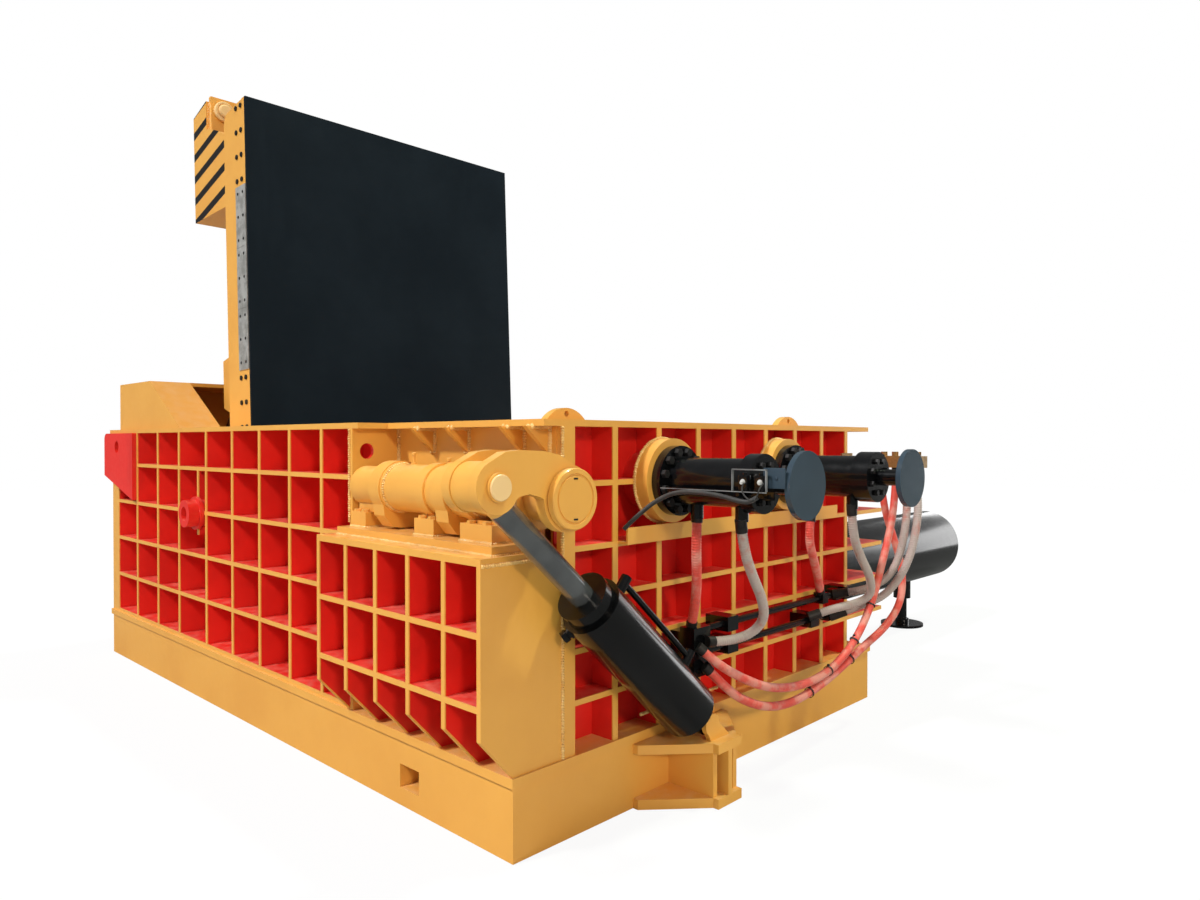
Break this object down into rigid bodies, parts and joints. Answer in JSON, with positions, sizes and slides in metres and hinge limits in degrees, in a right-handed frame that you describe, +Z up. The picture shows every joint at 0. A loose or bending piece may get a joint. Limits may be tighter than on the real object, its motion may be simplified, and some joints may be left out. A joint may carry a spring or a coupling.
{
  "type": "hydraulic scrap baler",
  "caption": "Hydraulic scrap-metal baler: ribbed press box on a base frame, swinging lid, side and main rams, lid lock cylinders and a crank-driven turn-out flap.",
  "frame": {"origin": "centre of the base frame's underside, on the floor", "axes": "+Z up; -Y the long ribbed front side; +X the end with the two lid lock cylinders; +Y the side that carries the main cylinder"},
  "size_m": [6.132, 6.332, 4.2561],
  "materials": {
    "yellow_paint": "semi-gloss golden yellow",
    "red_paint": "semi-gloss red",
    "black_paint": "gloss black",
    "dark_face": "satin blue-black",
    "plain_steel": "ground bare steel",
    "dark_bolt": "blackened bolt heads",
    "chrome_rod": "hard chrome",
    "hose_rubber": "sleeved hose, matte",
    "brass_fitting": "machined fittings"
  },
  "bodies": {
    "baler": {"base_frame": "yellow_paint", "front_wall": "yellow_paint", "chamber_liners": "plain_steel", "bearing_box": "yellow_paint", "shaft_bay": "yellow_paint", "lock_wall": "yellow_paint", "lid_seat": "yellow_paint", "rear_wall": "yellow_paint", "end_wall": "yellow_paint", "chamber_floor": "plain_steel", "top_plate": "yellow_paint", "hood": "yellow_paint", "lug_plates": "red_paint", "pivot_bosses": "red_paint", "pivot_shaft": "plain_steel", "side_barrels": "black_paint", "main_barrel": "black_paint", "pillow_blocks": "yellow_paint", "pillow_bolts": "yellow_paint", "foot_bracket": "yellow_paint", "lock_barrels": "black_paint", "lock_caps": "black_paint", "cylinder_bolts": "dark_bolt", "sensor_rail": "black_paint", "pipes": "black_paint", "pipe_blocks": "black_paint", "manifold": "brass_fitting", "hose_fittings": "brass_fitting", "hose_near_front": "hose_rubber", "hose_near_tail": "hose_rubber", "hose_far_front": "hose_rubber", "hose_far_tail": "hose_rubber", "hose_drop_near": "hose_rubber", "hose_drop_far": "hose_rubber", "hose_long_upper": "hose_rubber", "hose_long_lower": "hose_rubber"},
    "lid": {"lid": "yellow_paint", "lid_liner": "dark_face", "landing_box": "yellow_paint", "lid_wear_strips": "plain_steel", "lid_bolts": "dark_bolt", "lid_ears": "yellow_paint"},
    "lid_rod_near": {"lid_rod_near": "chrome_rod"},
    "lid_rod_far": {"lid_rod_far": "chrome_rod"},
    "lid_barrel_near": {"lid_barrel_near": "black_paint"},
    "lid_barrel_far": {"lid_barrel_far": "black_paint"},
    "side_ram": {"side_ram": "plain_steel", "side_rods": "chrome_rod"},
    "main_ram": {"main_ram": "plain_steel", "main_rod": "chrome_rod"},
    "lock_bolt_near": {"lock_bolt_near": "black_paint"},
    "lock_bolt_far": {"lock_bolt_far": "black_paint"},
    "turnout": {"turnout_shaft": "yellow_paint", "crank_plates": "yellow_paint", "crank_pin": "yellow_paint", "turnout_flap": "yellow_paint"},
    "turnout_rod": {"turnout_rod": "chrome_rod"},
    "turnout_barrel": {"turnout_barrel": "black_paint"},
    "jack_foot": {"jack_foot": "black_paint"}
  },
  "joints": [
    {"name": "lid_swing", "type": "hinge", "parent": "baler", "child": "lid", "pos_m": [-0.735, 0, 1.227], "axis": [0, 1, 0], "range_deg": [0, 92.3]},
    {"name": "lid_rod_near_pin", "type": "hinge", "parent": "lid", "child": "lid_rod_near", "pos_m": [-1.27665, -0.979, 2.00489], "axis": [0, 1, 0], "range_deg": [-63.28, 0]},
    {"name": "lid_barrel_near_stroke", "type": "slide", "parent": "lid_rod_near", "child": "lid_barrel_near", "axis": [-0.6686, 0, -0.7437], "range_m": [0, 1.0025]},
    {"name": "lid_rod_far_pin", "type": "hinge", "parent": "lid", "child": "lid_rod_far", "pos_m": [-1.27665, 0.802, 2.00489], "axis": [0, 1, 0], "range_deg": [-63.28, 0]},
    {"name": "lid_barrel_far_stroke", "type": "slide", "parent": "lid_rod_far", "child": "lid_barrel_far", "axis": [-0.6686, 0, -0.7437], "range_m": [0, 1.0025]},
    {"name": "side_ram_stroke", "type": "slide", "parent": "baler", "child": "side_ram", "axis": [1, 0, 0], "range_m": [0, 1.785]},
    {"name": "main_ram_stroke", "type": "slide", "parent": "baler", "child": "main_ram", "axis": [0, -1, 0], "range_m": [0, 1.538]},
    {"name": "lock_bolt_near_stroke", "type": "slide", "parent": "baler", "child": "lock_bolt_near", "axis": [-1, 0, 0], "range_m": [0, 0.14]},
    {"name": "lock_bolt_far_stroke", "type": "slide", "parent": "baler", "child": "lock_bolt_far", "axis": [-1, 0, 0], "range_m": [0, 0.14]},
    {"name": "turnout_swing", "type": "hinge", "parent": "baler", "child": "turnout", "pos_m": [2.648, -1.472, 1.482], "axis": [-1, 0, 0], "range_deg": [-50, 0]},
    {"name": "turnout_rod_pin", "type": "hinge", "parent": "turnout", "child": "turnout_rod", "pos_m": [2.648, -1.824, 1.538], "axis": [-1, 0, 0], "range_deg": [0, 43.91]},
    {"name": "turnout_barrel_stroke", "type": "slide", "parent": "turnout_rod", "child": "turnout_barrel", "axis": [0, 0.7455, -0.6666], "range_m": [-0.2467, 0]},
    {"name": "jack_screw", "type": "slide", "parent": "baler", "child": "jack_foot", "axis": [0, 0, 1], "range_m": [0, 0.06]}
  ],
  "couplings": [
    {"joint": "lid_rod_near_pin", "follows": "lid_swing", "ratio": -0.68504},
    {"joint": "lid_barrel_near_stroke", "follows": "lid_swing", "m_per_rad": 0.62201},
    {"joint": "lid_rod_far_pin", "follows": "lid_swing", "ratio": -0.68504},
    {"joint": "lid_barrel_far_stroke", "follows": "lid_swing", "m_per_rad": 0.62201},
    {"joint": "turnout_rod_pin", "follows": "turnout_swing", "ratio": -0.87725},
    {"joint": "turnout_barrel_stroke", "follows": "turnout_swing", "m_per_rad": 0.28213}
  ]
}
